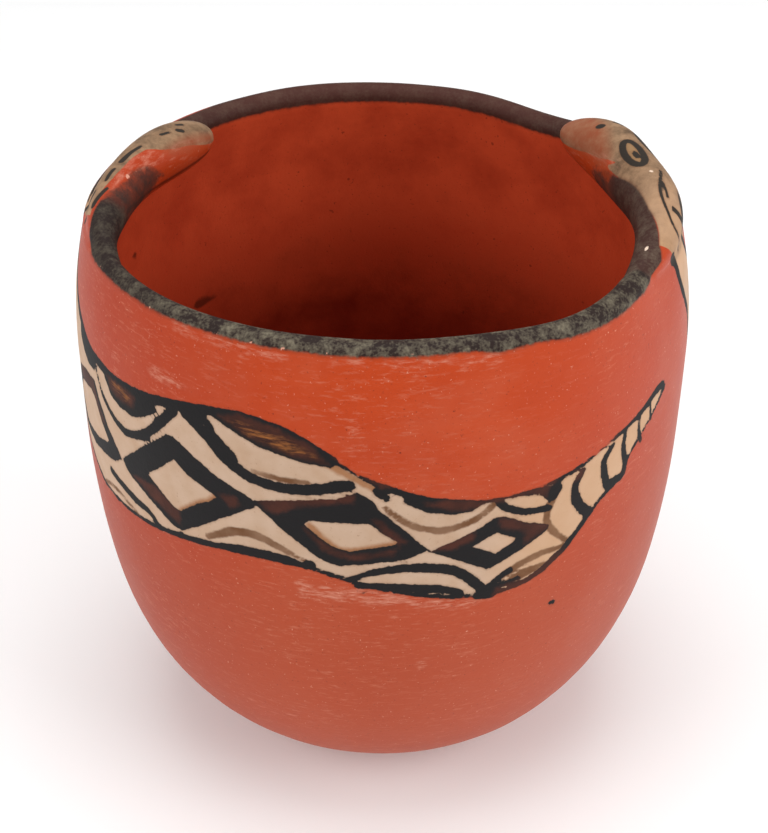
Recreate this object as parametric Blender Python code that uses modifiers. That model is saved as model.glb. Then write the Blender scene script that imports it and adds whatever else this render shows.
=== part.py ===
"""Hand-built clay jar with two snake heads modelled on its rim.

The wall is a turned profile. Its plan and its rim are then pushed a little out of round, as hands
leave them. Each head starts as a sphere, is stretched along a path over the rim, and is joined to
the wall. Metres, +Z up. The underside is at z = 0 and the jar's axis is the Z axis.
"""

import math

import bmesh
import bpy
from mathutils import Vector

MM = 0.001

# The turned wall
JAR_HEIGHT = 143.4 * MM
FOOT_RADIUS = 24.0 * MM
BELLY_RADIUS = 75.0 * MM
BELLY_HEIGHT = 109.5 * MM
MOUTH_RADIUS = 71.0 * MM
RIM_THICKNESS = 6.6 * MM
WALL_THICKNESS = 6.0 * MM
BASE_THICKNESS = 9.0 * MM
SIDE_POWER = 2.088
LOWER_POWER = 3.238

SHOULDER = JAR_HEIGHT - RIM_THICKNESS / 2
CREST_RADIUS = MOUTH_RADIUS - RIM_THICKNESS / 2

# How fine the faceted solid is
COLUMNS = 96
OUTER_ROWS = 22
LIP_ROWS = 6
INNER_ROWS = 15
HEAD_RINGS = 16
HEAD_SEGMENTS = 20

# Where the hand-built rim leaves its circle: direction, half-width in degrees, and how far
RIM_SWELLS = ((304, 13, 1.5), (331, 9, -1.0), (250, 35, -0.4), (112, 26, 0.6), (188, 13, -0.3))
RIM_RISES = ((112, 30, 0.7), (51, 13, -1.9), (270, 60, -0.2))
RIM_REACH = 0.55
# Where the lip is thinner, taken off its inner side
THIN_LIP = ((222, 30, 1.5), (308, 17, 1.5), (345, 12, 0.6))

# The heads, measured along and across the rim
RIGHT_HEAD_LENGTH = 92.0 * MM
RIGHT_HEAD_WIDTH = 14.8 * MM
RIGHT_HEAD_HEIGHT = 16.0 * MM
RIGHT_SNOUT_DIRECTION = 36.0
LEFT_HEAD_LENGTH = 85.0 * MM
LEFT_HEAD_WIDTH = 15.2 * MM
LEFT_HEAD_HEIGHT = 13.6 * MM
LEFT_SNOUT_DIRECTION = 142.0

# A head's form, from the neck in the rim to the snout: the share of its length, how far it lies
# inside the rim's crest as a share of its width, how far its middle is above the crest as a share
# of its height, and how much of its width and of its height it has there.
RIGHT_FORM = (
    (0.000, 0.05, -0.28, 0.32, 0.28),
    (0.244, 0.09, -0.11, 0.61, 0.58),
    (0.436, 0.22, 0.01, 0.84, 0.88),
    (0.609, 0.47, 0.09, 0.89, 1.00),
    (0.769, 0.60, 0.15, 0.96, 1.00),
    (1.000, 0.72, 0.11, 1.00, 0.80),
)
LEFT_FORM = (
    (0.000, 0.02, -0.33, 0.29, 0.32),
    (0.208, 0.05, -0.15, 0.42, 0.62),
    (0.389, 0.23, -0.03, 0.63, 0.79),
    (0.583, 0.45, 0.05, 0.75, 0.91),
    (0.764, 0.65, 0.09, 0.95, 0.97),
    (1.000, 0.78, 0.03, 1.00, 1.00),
)


def clear_scene():
    for obj in list(bpy.data.objects):
        bpy.data.objects.remove(obj, do_unlink=True)


def collection(name):
    made = bpy.data.collections.new(name)
    bpy.context.scene.collection.children.link(made)
    return made


def blend(low, high, value):
    """0 below low, 1 above high, and a smooth change between them."""
    share = min(max((value - low) / (high - low), 0.0), 1.0)
    return share * share * (3 - 2 * share)


def evenly_spaced(points, count):
    """count + 1 points at equal steps along a polyline, with its ends kept."""
    lengths = [0.0]
    for before, after in zip(points, points[1:]):
        lengths.append(lengths[-1] + (after - before).length)
    spaced = []
    at = 0
    for step in range(count + 1):
        wanted = lengths[-1] * step / count
        while at < len(points) - 2 and lengths[at + 1] < wanted:
            at += 1
        share = (wanted - lengths[at]) / (lengths[at + 1] - lengths[at])
        spaced.append(points[at].lerp(points[at + 1], share))
    return spaced


def wall_radius(height):
    """The outer radius above the belly, where the wall draws in towards the mouth."""
    up = (height - BELLY_HEIGHT) / (SHOULDER - BELLY_HEIGHT)
    return BELLY_RADIUS - (BELLY_RADIUS - MOUTH_RADIUS) * min(max(up, 0), 1) ** 2


def outer_face(steps=400):
    """Points (radius, height) of the outer face, from under the lip down to the edge of the foot."""
    points = []
    for step in range(steps):
        height = SHOULDER + (BELLY_HEIGHT - SHOULDER) * step / steps
        points.append(Vector((wall_radius(height), height)))
    for step in range(steps + 1):
        turn = math.pi / 2 * (1 - step / steps)
        out = math.sin(turn) ** (2 / SIDE_POWER)
        down = math.cos(turn) ** (2 / LOWER_POWER)
        radius = FOOT_RADIUS + (BELLY_RADIUS - FOOT_RADIUS) * out
        points.append(Vector((radius, BELLY_HEIGHT * (1 - down))))
    return points


def thickness_at(height):
    low = WALL_THICKNESS + (BASE_THICKNESS - WALL_THICKNESS) * (1 - blend(0, BELLY_HEIGHT, height)) ** 2
    return low + (RIM_THICKNESS - WALL_THICKNESS) * blend(BELLY_HEIGHT, JAR_HEIGHT, height)


def inner_face(outer):
    """The outer face moved in by the wall's thickness, square to itself."""
    points = []
    last = len(outer) - 1
    for index, point in enumerate(outer):
        along = outer[min(index + 1, last)] - outer[max(index - 1, 0)]
        if index == 0:
            along = Vector((0, -1))
        if index == last:
            along = Vector((-1, 0))
        inwards = Vector((along.y, -along.x)).normalized()
        points.append(point + inwards * thickness_at(point.y))
    return points


def jar_profile():
    """The whole section: out along the inner floor, up inside, over the lip, down outside, and in."""
    outer = outer_face()
    inner = inner_face(outer)
    floor = [Vector((0, BASE_THICKNESS)), Vector((FOOT_RADIUS / 2, BASE_THICKNESS))]
    inside = evenly_spaced(inner, INNER_ROWS)[::-1]
    lip = []
    for step in range(1, LIP_ROWS):
        turn = math.pi * (1 - step / LIP_ROWS)
        sideways = RIM_THICKNESS / 2 * math.cos(turn)
        upwards = RIM_THICKNESS / 2 * math.sin(turn)
        lip.append(Vector((CREST_RADIUS + sideways, SHOULDER + upwards)))
    outside = evenly_spaced(outer, OUTER_ROWS)
    foot = [Vector((FOOT_RADIUS / 2, 0)), Vector((0, 0))]
    return floor + inside + lip + outside + foot


def turned(name, profile):
    """The profile swept round the Z axis with a Screw modifier, as a new closed mesh."""
    mesh = bpy.data.meshes.new(name)
    corners = [(point.x, 0, point.y) for point in profile]
    edges = [(index, index + 1) for index in range(len(corners) - 1)]
    mesh.from_pydata(corners, edges, [])
    obj = bpy.data.objects.new(name, mesh)
    jar_parts.objects.link(obj)
    screw = obj.modifiers.new("Turn", "SCREW")
    screw.axis = "Z"
    screw.steps = COLUMNS
    screw.render_steps = COLUMNS
    screw.use_merge_vertices = True
    screw.merge_threshold = 0.01 * MM
    bake(obj)
    return obj


def bake(obj):
    """Replaces the object's mesh with what its modifiers make."""
    graph = bpy.context.evaluated_depsgraph_get()
    made = bpy.data.meshes.new_from_object(obj.evaluated_get(graph))
    obj.modifiers.clear()
    old = obj.data
    obj.data = made
    bpy.data.meshes.remove(old)


def bump(direction, centre, half_width):
    """1 in the centre's direction, falling off round the jar, in degrees."""
    away = (direction - centre + 180) % 360 - 180
    return math.exp(-((away / half_width) ** 2))


def total(bumps, direction):
    return sum(far * bump(direction, centre, half_width) for centre, half_width, far in bumps)


def push_out_of_round(obj):
    """Swells, dips and thin places of a hand-built rim, fading down the wall."""
    for vertex in obj.data.vertices:
        x, y, z = vertex.co
        radius = math.hypot(x, y)
        if z < RIM_REACH * JAR_HEIGHT:
            continue
        direction = math.degrees(math.atan2(y, x))
        reach = blend(RIM_REACH * JAR_HEIGHT, JAR_HEIGHT, z)
        middle = wall_radius(z) - RIM_THICKNESS / 2
        inside = blend(middle + RIM_THICKNESS / 2, middle - RIM_THICKNESS / 2, radius)
        push = total(RIM_SWELLS, direction) + total(THIN_LIP, direction) * inside
        scale = 1 + push * MM * reach / radius
        vertex.co = (x * scale, y * scale, z + total(RIM_RISES, direction) * MM * reach)


def between(form, share):
    """The form's values at this share of the length, on a smooth curve through its stations."""
    last = len(form) - 1
    at = 0
    while at < last - 1 and form[at + 1][0] < share:
        at += 1
    low, high = form[at], form[at + 1]
    before, after = form[max(at - 1, 0)], form[min(at + 2, last)]
    span = high[0] - low[0]
    u = (share - low[0]) / span
    values = []
    for index in range(1, len(low)):
        start = (high[index] - before[index]) / (high[0] - before[0]) * span
        end = (after[index] - low[index]) / (after[0] - low[0]) * span
        values.append(
            low[index] * (2 * u**3 - 3 * u**2 + 1)
            + start * (u**3 - 2 * u**2 + u)
            + high[index] * (3 * u**2 - 2 * u**3)
            + end * (u**3 - u**2)
        )
    return values


def snake_head(name, form, length, width, height, snout, turn):
    """A sphere stretched along the rim: a neck sunk in it, a broad crown and a blunt snout."""
    mesh = bpy.data.meshes.new(name)
    shape = bmesh.new()
    bmesh.ops.create_uvsphere(shape, u_segments=HEAD_SEGMENTS, v_segments=HEAD_RINGS, radius=1)

    def middle(share):
        inset, rise = between(form, share)[:2]
        back = length * (1 - share) / CREST_RADIUS
        direction = math.radians(snout) - turn * back
        radius = CREST_RADIUS - inset * width
        plan = Vector((math.cos(direction), math.sin(direction), 0)) * radius
        return plan + Vector((0, 0, JAR_HEIGHT + rise * height))

    for vertex in shape.verts:
        across, up, along = vertex.co
        share = (along + 1) / 2
        around = math.hypot(across, up)
        blunt = math.sqrt(max(1 - along**4, 0)) / around if around > 1e-6 else 0
        broad, tall = between(form, share)[2:]
        ahead = middle(min(share + 0.01, 1)) - middle(max(share - 0.01, 0))
        outwards = Vector((ahead.y, -ahead.x, 0)).normalized()
        sideways = outwards * (across * blunt * broad * width / 2)
        upwards = Vector((0, 0, up * blunt * tall * height / 2))
        vertex.co = middle(share) + sideways + upwards
    bmesh.ops.recalc_face_normals(shape, faces=shape.faces)
    shape.to_mesh(mesh)
    shape.free()
    obj = bpy.data.objects.new(name, mesh)
    obj.hide_render = True
    obj.display_type = "WIRE"
    head_shapes.objects.link(obj)
    return obj


def join(obj, other):
    union = obj.modifiers.new("Join " + other.name, "BOOLEAN")
    union.operation = "UNION"
    union.solver = "EXACT"
    union.object = other


def painted_clay():
    material = bpy.data.materials.new("Red burnished clay")
    material.use_nodes = True
    shader = material.node_tree.nodes["Principled BSDF"]
    shader.inputs["Base Color"].default_value = (0.46, 0.085, 0.035, 1)
    shader.inputs["Roughness"].default_value = 0.45
    shader.inputs["Metallic"].default_value = 0
    return material


clear_scene()
jar_parts = collection("Clay jar")
head_shapes = collection("Head shapes")
jar = turned("clay_jar", jar_profile())
push_out_of_round(jar)
right_head = snake_head(
    "right_head",
    RIGHT_FORM,
    RIGHT_HEAD_LENGTH,
    RIGHT_HEAD_WIDTH,
    RIGHT_HEAD_HEIGHT,
    RIGHT_SNOUT_DIRECTION,
    turn=1,
)
left_head = snake_head(
    "left_head",
    LEFT_FORM,
    LEFT_HEAD_LENGTH,
    LEFT_HEAD_WIDTH,
    LEFT_HEAD_HEIGHT,
    LEFT_SNOUT_DIRECTION,
    turn=-1,
)
join(jar, right_head)
join(jar, left_head)
jar.data.materials.append(painted_clay())
jar.data.shade_smooth()
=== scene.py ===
# %% [markdown]
# # A hand-built clay jar with two rattlesnakes
# The jar is one piece of fired clay. A potter built its wall up by hand, scraped it thin, and
# modelled two snake heads on the rim. The whole jar was covered with red slip, which is liquid
# clay, and rubbed with a smooth stone until it shone a little. The snakes were painted in cream
# slip, with diamonds, arcs and rattles in black and brown.
#
# The frame is the exact model that this jar has to agree with. Loading it comes first, so that
# every size below can be compared with it.

# %% Load the frame
import math

import bmesh
import bpy
import numpy as np
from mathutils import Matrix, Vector


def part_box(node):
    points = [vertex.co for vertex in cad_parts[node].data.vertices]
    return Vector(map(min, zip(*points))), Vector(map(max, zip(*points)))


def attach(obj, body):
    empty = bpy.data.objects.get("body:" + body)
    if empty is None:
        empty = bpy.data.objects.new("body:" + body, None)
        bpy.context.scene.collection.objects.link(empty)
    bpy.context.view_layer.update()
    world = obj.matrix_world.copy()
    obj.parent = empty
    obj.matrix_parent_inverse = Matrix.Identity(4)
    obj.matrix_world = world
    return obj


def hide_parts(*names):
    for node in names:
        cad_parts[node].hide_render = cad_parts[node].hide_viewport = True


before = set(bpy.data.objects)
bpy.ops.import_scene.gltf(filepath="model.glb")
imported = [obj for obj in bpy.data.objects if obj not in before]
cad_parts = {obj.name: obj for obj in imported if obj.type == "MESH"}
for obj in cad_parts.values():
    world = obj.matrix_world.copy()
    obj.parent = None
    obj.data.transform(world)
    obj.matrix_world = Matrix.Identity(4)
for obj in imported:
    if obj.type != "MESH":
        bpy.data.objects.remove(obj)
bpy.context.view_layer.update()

scene = bpy.context.scene
lowest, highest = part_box("clay_jar")
print("The frame's jar is", [round((high - low) * 1000, 1) for low, high in zip(lowest, highest)], "mm")

# %% [markdown]
# ## Nodes written as sums
# A node tree built in a script soon turns into long lists of links. A small class helps: it wraps
# one output of a node, and Python's own signs on it add the Math node that does the same. The
# shape and the paint below both use it, because geometry and shader trees share these nodes.

# %% A wire that can be added and multiplied
class Wire:
    """One output of a node. A sum or product of wires adds the Math node that works it out."""

    def __init__(self, socket):
        self.socket = socket
        self.tree = socket.id_data

    @classmethod
    def node(cls, tree, kind, settings=None, values=None, out=0):
        """Adds a node: first its settings, then the value or the link of each input it names."""
        made = tree.nodes.new(kind)
        for name, value in (settings or {}).items():
            if name == "points":
                made.mapping.use_clip = False
                curve = made.mapping.curves[0].points
                while len(curve) < len(value):
                    curve.new(1, 1)
                for point, place in zip(curve, value):
                    point.location = place
                made.mapping.update()
            else:
                setattr(made, name, value)
        for key, value in (values or {}).items():
            if isinstance(value, cls):
                tree.links.new(value.socket, made.inputs[key])
            else:
                made.inputs[key].default_value = value
        return cls(made.outputs[out])

    def out(self, name):
        """Another output of the same node."""
        return Wire(self.socket.node.outputs[name])

    def math(self, operation, *others):
        values = dict(enumerate((self, *others)))
        return Wire.node(self.tree, "ShaderNodeMath", {"operation": operation}, values)

    def __add__(self, other):
        return self.math("ADD", other)

    def __sub__(self, other):
        return self.math("SUBTRACT", other)

    def __mul__(self, other):
        return self.math("MULTIPLY", other)

    def __truediv__(self, other):
        return self.math("DIVIDE", other)

    def __pow__(self, other):
        return self.math("POWER", other)

    def __neg__(self):
        return self.math("MULTIPLY", -1.0)

    # The same sums with a plain number in front
    __radd__ = __add__
    __rmul__ = __mul__

    def __rsub__(self, other):
        return Wire.node(self.tree, "ShaderNodeMath", {"operation": "SUBTRACT"}, {0: other, 1: self})

    def clipped(self):
        """This value, kept between 0 and 1."""
        return self.math("MAXIMUM", 0.0).math("MINIMUM", 1.0)

    def step(self, low, high):
        """0 below low, 1 above high, and a smooth change between them."""
        return Wire.node(
            self.tree,
            "ShaderNodeMapRange",
            {"interpolation_type": "SMOOTHSTEP"},
            {"Value": self, "From Min": low, "From Max": high},
        )


print("A wire takes + - * / and **, and 1 - wire works too")

# %% [markdown]
# ## The jar's sizes
# These are the same driving sizes as in the jar's exact model: a small foot, a belly high up, a
# mouth a little narrower than the belly, and a rim that is thicker than the wall.

# %% Sizes of the jar
MM = 0.001
JAR_HEIGHT = 143.4 * MM
FOOT_RADIUS = 24.0 * MM
BELLY_RADIUS = 75.0 * MM
BELLY_HEIGHT = 109.5 * MM
MOUTH_RADIUS = 71.0 * MM
RIM_THICKNESS = 6.6 * MM
WALL_THICKNESS = 6.0 * MM
BASE_THICKNESS = 9.0 * MM
# How full the outer line is: 2 in both would make it a quarter of an ellipse
SIDE_POWER = 2.088
LOWER_POWER = 3.238
SHOULDER = JAR_HEIGHT - RIM_THICKNESS / 2
CREST_RADIUS = MOUTH_RADIUS - RIM_THICKNESS / 2

# Where the rim leaves its circle: direction and half-width in degrees, then how far in mm
RIM_SWELLS = ((304, 13, 1.5), (331, 9, -1.0), (250, 35, -0.4), (112, 26, 0.6), (188, 13, -0.3))
RIM_RISES = ((112, 30, 0.7), (51, 13, -1.9), (270, 60, -0.2))
THIN_LIP = ((222, 30, 1.5), (308, 17, 1.5), (345, 12, 0.6))
# The share of the jar's height from which the rim's bumps are felt
RIM_REACH = 0.55
print("Belly", round(2 * BELLY_RADIUS / MM, 1), "mm across, lip", round(JAR_HEIGHT / MM, 1), "mm high")

# %% [markdown]
# ## The wall's section
# A lathe needs only half a section. It runs from the middle of the floor inside, up the inner
# face, over the lip, down the outer face and back to the middle of the underside. The outer face
# is a formula, and the inner face is the same line moved in by the wall's thickness. The points
# are close together where the painting needs a fine mesh, and far apart on the plain wall.

# %% Draw the half section
def blend(low, high, value):
    """0 below low, 1 above high, and a smooth change between them."""
    share = np.clip((value - low) / (high - low), 0, 1)
    return share * share * (3 - 2 * share)


def wall_radius(height):
    """The outer radius above the belly, where the wall draws in towards the mouth."""
    up = (height - BELLY_HEIGHT) / (SHOULDER - BELLY_HEIGHT)
    return BELLY_RADIUS - (BELLY_RADIUS - MOUTH_RADIUS) * np.clip(up, 0, 1) ** 2


def outer_face(steps=600):
    """Radius and height along the outer face, from under the lip down to the edge of the foot."""
    heights = SHOULDER + (BELLY_HEIGHT - SHOULDER) * np.arange(steps) / steps
    above = np.stack([wall_radius(heights), heights], axis=1)
    turn = math.pi / 2 * (1 - np.arange(steps + 1) / steps)
    radius = FOOT_RADIUS + (BELLY_RADIUS - FOOT_RADIUS) * np.sin(turn) ** (2 / SIDE_POWER)
    below = np.stack([radius, BELLY_HEIGHT * (1 - np.cos(turn) ** (2 / LOWER_POWER))], axis=1)
    return np.concatenate([above, below])


def inner_face(outer):
    """The outer face moved in by the wall's thickness, square to itself."""
    along = np.gradient(outer, axis=0)
    along[0] = (0, -1)
    along[-1] = (-1, 0)
    inwards = np.stack([along[:, 1], -along[:, 0]], axis=1)
    inwards /= np.linalg.norm(inwards, axis=1)[:, None]
    height = outer[:, 1]
    low = WALL_THICKNESS + (BASE_THICKNESS - WALL_THICKNESS) * (1 - blend(0, BELLY_HEIGHT, height)) ** 2
    thickness = low + (RIM_THICKNESS - WALL_THICKNESS) * blend(BELLY_HEIGHT, JAR_HEIGHT, height)
    return outer + inwards * thickness[:, None]


outer = outer_face()
print("The foot is", round(2 * outer[-1, 0] / MM, 1), "mm across")

# %% Choose the section's points
def spaced(line, zones):
    """Points along a line. Each zone says down to which height it goes, and its step in mm."""
    lengths = np.concatenate([[0], np.cumsum(np.linalg.norm(np.diff(line, axis=0), axis=1))])
    places = [0.0]
    for floor, step in zones:
        end = np.interp(-floor, -line[:, 1], lengths)
        count = max(round((end - places[-1]) / (step * MM)), 1)
        places.extend(np.linspace(places[-1], end, count + 1)[1:])
    return np.stack([np.interp(places, lengths, line[:, axis]) for axis in (0, 1)], axis=1)


OUTER_ZONES = ((128 * MM, 0.95), (77 * MM, 0.85), (60 * MM, 2.2), (0, 4.2))
INNER_ZONES = ((118 * MM, 1.5), (60 * MM, 4.0), (BASE_THICKNESS * 1.001, 5.5))
LIP_STEPS = 12

outside = spaced(outer, OUTER_ZONES)
inside = spaced(inner_face(outer), INNER_ZONES)[::-1]
turn = math.pi * (1 - np.arange(1, LIP_STEPS) / LIP_STEPS)
lip = np.array([CREST_RADIUS, SHOULDER]) + RIM_THICKNESS / 2 * np.stack([np.cos(turn), np.sin(turn)], axis=1)
flat_radii = (0, FOOT_RADIUS / 3, FOOT_RADIUS * 0.7)
inner_floor = [(radius, BASE_THICKNESS) for radius in flat_radii]
underside = [(radius, 0) for radius in flat_radii[::-1]]
section = np.concatenate([inner_floor, inside, lip, outside, underside])
section_mesh = bpy.data.meshes.new("half section")
section_mesh.from_pydata([(r, 0, z) for r, z in section], [], [])
section_points = bpy.data.objects.new("half section", section_mesh)
scene.collection.objects.link(section_points)
print("The section has", len(section), "points")

# %% [markdown]
# ## Turning the wall
# Geometry Nodes turn the section into a wall: a grid has one column for each step round the jar,
# and each of its points takes its radius and height from the section. The seam and the two
# poles are then merged. The rim's swells and thin places are bumps that fade round the jar and
# down the wall, added up with the Wire class.

# %% Helpers for trees
def new_tree(name, inputs):
    """A geometry tree with a Geometry output and these named inputs."""
    tree = bpy.data.node_groups.new(name, "GeometryNodeTree")
    tree.interface.new_socket("Geometry", in_out="OUTPUT", socket_type="NodeSocketGeometry")
    for label, kind in inputs:
        tree.interface.new_socket(label, in_out="INPUT", socket_type=kind)
    given = tree.nodes.new("NodeGroupInput")
    return tree, {label: Wire(given.outputs[label]) for label, _ in inputs}


def close_tree(tree, geometry):
    """Real geometry, with the clay on it, goes to the tree's output."""
    real = Wire.node(tree, "GeometryNodeRealizeInstances", None, {0: geometry})
    painted = Wire.node(tree, "GeometryNodeSetMaterial", None, {0: real, "Material": clay})
    output = tree.nodes.new("NodeGroupOutput")
    tree.links.new(painted.socket, output.inputs[0])


def run_tree(name, tree, values):
    """An object whose modifier runs the tree. Inputs are set by their identifiers."""
    obj = bpy.data.objects.new(name, bpy.data.meshes.new(name))
    scene.collection.objects.link(obj)
    modifier = obj.modifiers.new(tree.name, "NODES")
    modifier.node_group = tree
    for item in tree.interface.items_tree:
        if item.in_out == "INPUT" and item.name in values:
            modifier[item.identifier] = values[item.name]
    return obj


clay = bpy.data.materials.new("painted_clay")
print("The material", clay.name, "goes on the wall and on the heads")

# %% Turn the section into a wall, and join the heads to it
def total(bumps, direction):
    """The sum of bumps round the jar, in mm, each one fading away from its own direction."""
    amount = 0.0
    for centre, half_width, far in bumps:
        # 900 is half a turn and two whole ones, so that nothing below zero is divided
        away = ((direction - centre + 900).math("MODULO", 360) - 180) / half_width
        amount = amount + far * (-(away * away)).math("EXPONENT")
    return amount


clay = bpy.data.materials.new("painted_clay")

tree, given = new_tree(
    "hand-built jar",
    (
        ("Section", "NodeSocketObject"),
        ("Right head", "NodeSocketObject"),
        ("Left head", "NodeSocketObject"),
        ("Columns", "NodeSocketInt"),
        ("Rim reach", "NodeSocketFloat"),
        ("Out of round", "NodeSocketFloat"),
        ("Hand marks", "NodeSocketFloat"),
        ("Seed", "NodeSocketFloat"),
    ),
)


def shape_of(label):
    """The geometry of the object that this input holds."""
    return Wire.node(tree, "GeometryNodeObjectInfo", None, {0: given[label]}).out("Geometry")


half_section = shape_of("Section")
rows = Wire.node(
    tree, "GeometryNodeAttributeDomainSize", {"component": "MESH"}, {0: half_section}
).out("Point Count")
columns = given["Columns"] + 1
grid = Wire.node(tree, "GeometryNodeMeshGrid", None, {"Vertices X": columns, "Vertices Y": rows})
index = Wire.node(tree, "GeometryNodeInputIndex")
column = (index / rows).math("FLOOR")
row = index - column * rows
point = Wire.node(
    tree,
    "GeometryNodeSampleIndex",
    {"data_type": "FLOAT_VECTOR", "clamp": True},
    {"Geometry": half_section, "Value": Wire.node(tree, "GeometryNodeInputPosition"), "Index": row},
)
place = Wire.node(tree, "ShaderNodeSeparateXYZ", None, {0: point})
radius, height = place, place.out("Z")
turn = column / given["Columns"]
direction = turn * 360

reach = height.step(given["Rim reach"], JAR_HEIGHT) * given["Out of round"] * MM
drawn_in = ((height - BELLY_HEIGHT) / (SHOULDER - BELLY_HEIGHT)).clipped() ** 2
middle = BELLY_RADIUS - RIM_THICKNESS / 2 - (BELLY_RADIUS - MOUTH_RADIUS) * drawn_in
inner_side = 1 - (radius - middle).step(-RIM_THICKNESS / 2, RIM_THICKNESS / 2)
radius = radius + (total(RIM_SWELLS, direction) + total(THIN_LIP, direction) * inner_side) * reach
height = height + total(RIM_RISES, direction) * reach
angle = turn * math.tau
turned = Wire.node(
    tree,
    "ShaderNodeCombineXYZ",
    None,
    {"X": radius * angle.math("COSINE"), "Y": radius * angle.math("SINE"), "Z": height},
)
wall = Wire.node(tree, "GeometryNodeSetPosition", None, {0: grid, "Position": turned})
wall = Wire.node(tree, "GeometryNodeMergeByDistance", None, {0: wall, "Distance": 0.01 * MM})
union = Wire.node(tree, "GeometryNodeMeshBoolean", {"operation": "UNION", "solver": "EXACT"})
for solid in (wall, shape_of("Right head"), shape_of("Left head")):
    tree.links.new(solid.socket, union.socket.node.inputs["Mesh 2"])
print("From the section to the joined clay:", len(tree.nodes), "nodes")

# %% [markdown]
# ## Marks of the hand
# The potter smeared clay into the seams round the heads, so the points near a seam move towards
# the middle of their neighbours. Then the whole wall gets the low waves that a hand leaves. They
# fade out near the table, where the jar has to stand flat.

# %% Smear the seams and press the waves
SMEAR_STEPS = 8
SEAM_STEPS = 5
SEAM_STRENGTH = 6
WAVE_SCALE = 30.0
FLAT_BELOW = 4 * MM
WAVY_ABOVE = 20 * MM

spot = Wire.node(tree, "GeometryNodeInputPosition")
crossing = union.out("Intersecting Edges")
seam = Wire.node(tree, "GeometryNodeBlurAttribute", None, {"Value": crossing, "Iterations": SEAM_STEPS})
seam_share = (seam * SEAM_STRENGTH).clipped()
smear_values = {"Value": spot, "Iterations": SMEAR_STEPS}
smoothed = Wire.node(tree, "GeometryNodeBlurAttribute", {"data_type": "FLOAT_VECTOR"}, smear_values)
blended = {0: seam_share, 4: spot, 5: smoothed}
filled = Wire.node(tree, "ShaderNodeMix", {"data_type": "VECTOR"}, blended, out=1)
wave_values = {"Scale": WAVE_SCALE, "Detail": 1.0, "W": given["Seed"]}
waves = Wire.node(tree, "ShaderNodeTexNoise", {"noise_dimensions": "4D"}, wave_values)
table_gap = Wire.node(tree, "ShaderNodeSeparateXYZ", None, {0: spot}).out("Z")
push = (waves - 0.5) * 2 * given["Hand marks"] * MM * table_gap.step(FLAT_BELOW, WAVY_ABOVE)
outward = Wire.node(tree, "GeometryNodeInputNormal")
moved = Wire.node(tree, "ShaderNodeVectorMath", {"operation": "SCALE"}, {0: outward, "Scale": push})
whole = Wire.node(tree, "GeometryNodeSetPosition", None, {0: union, "Position": filled, "Offset": moved})
close_tree(tree, whole)
print("The jar's tree has", len(tree.nodes), "nodes")

# %% [markdown]
# ## The snake heads
# Each head is a lump of clay pressed along the rim: a neck that rises out of the lip, a broad
# crown that leans in over the mouth, and a blunt snout. It starts as a sphere. Curves give its
# width, its height and its place across the rim from the neck to the snout, so one tree makes
# both heads.

# %% Sizes of the heads
RIGHT_HEAD = {"Length": 92.0 * MM, "Width": 14.8 * MM, "Height": 16.0 * MM, "Snout": 36.0, "Turn": 1.0}
LEFT_HEAD = {"Length": 85.0 * MM, "Width": 15.2 * MM, "Height": 13.6 * MM, "Snout": 142.0, "Turn": -1.0}

# From neck to snout: share of the length, how far inside the crest as a share of the width, how
# far above the crest as a share of the height, and how much of the width and of the height
RIGHT_FORM = (
    (0.000, 0.05, -0.28, 0.32, 0.28),
    (0.244, 0.09, -0.11, 0.61, 0.58),
    (0.436, 0.22, 0.01, 0.84, 0.88),
    (0.609, 0.47, 0.09, 0.89, 1.00),
    (0.769, 0.60, 0.15, 0.96, 1.00),
    (1.000, 0.72, 0.11, 1.00, 0.80),
)
LEFT_FORM = (
    (0.000, 0.02, -0.33, 0.29, 0.32),
    (0.208, 0.05, -0.15, 0.42, 0.62),
    (0.389, 0.23, -0.03, 0.63, 0.79),
    (0.583, 0.45, 0.05, 0.75, 0.91),
    (0.764, 0.65, 0.09, 0.95, 0.97),
    (1.000, 0.78, 0.03, 1.00, 1.00),
)
print("Heads", [round(sizes["Length"] / MM) for sizes in (RIGHT_HEAD, LEFT_HEAD)], "mm long")

# %% A smooth curve through the stations
def cubic(low, high, start, end, u):
    """A curve from low to high, for u from 0 to 1, with these slopes at its two ends."""
    return (
        low * (2 * u**3 - 3 * u**2 + 1)
        + start * (u**3 - 2 * u**2 + u)
        + high * (3 * u**2 - 2 * u**3)
        + end * (u**3 - u**2)
    )


def between(form, share):
    """The form's values at these shares of the length, on a smooth curve through its stations."""
    form = np.array(form)
    share = np.clip(np.asarray(share, float), 0, 1)
    low = np.clip(np.searchsorted(form[:, 0], share) - 1, 0, len(form) - 2)
    high = low + 1
    before = np.maximum(low - 1, 0)
    after = np.minimum(high + 1, len(form) - 1)
    span = (form[high, 0] - form[low, 0])[..., None]
    u = (share - form[low, 0])[..., None] / span
    start = (form[high] - form[before]) / (form[high, 0] - form[before, 0])[..., None] * span
    end = (form[after] - form[low]) / (form[after, 0] - form[low, 0])[..., None] * span
    return cubic(form[low], form[high], start, end, u)[..., 1:]


print("Halfway along, the heads have", between(RIGHT_FORM, 0.5)[2].round(2), "and",
      between(LEFT_FORM, 0.5)[2].round(2), "of their full width")

# %% The tree that stretches a sphere into a head
STATIONS = 25


def form_curve(tree, form, part, share):
    """The form's inset, rise, breadth or tallness as a curve over its length."""
    shares = np.linspace(0, 1, STATIONS)
    places = list(zip(shares, between(form, shares)[:, part]))
    return Wire.node(tree, "ShaderNodeFloatCurve", {"points": places}, {"Value": share})


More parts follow.
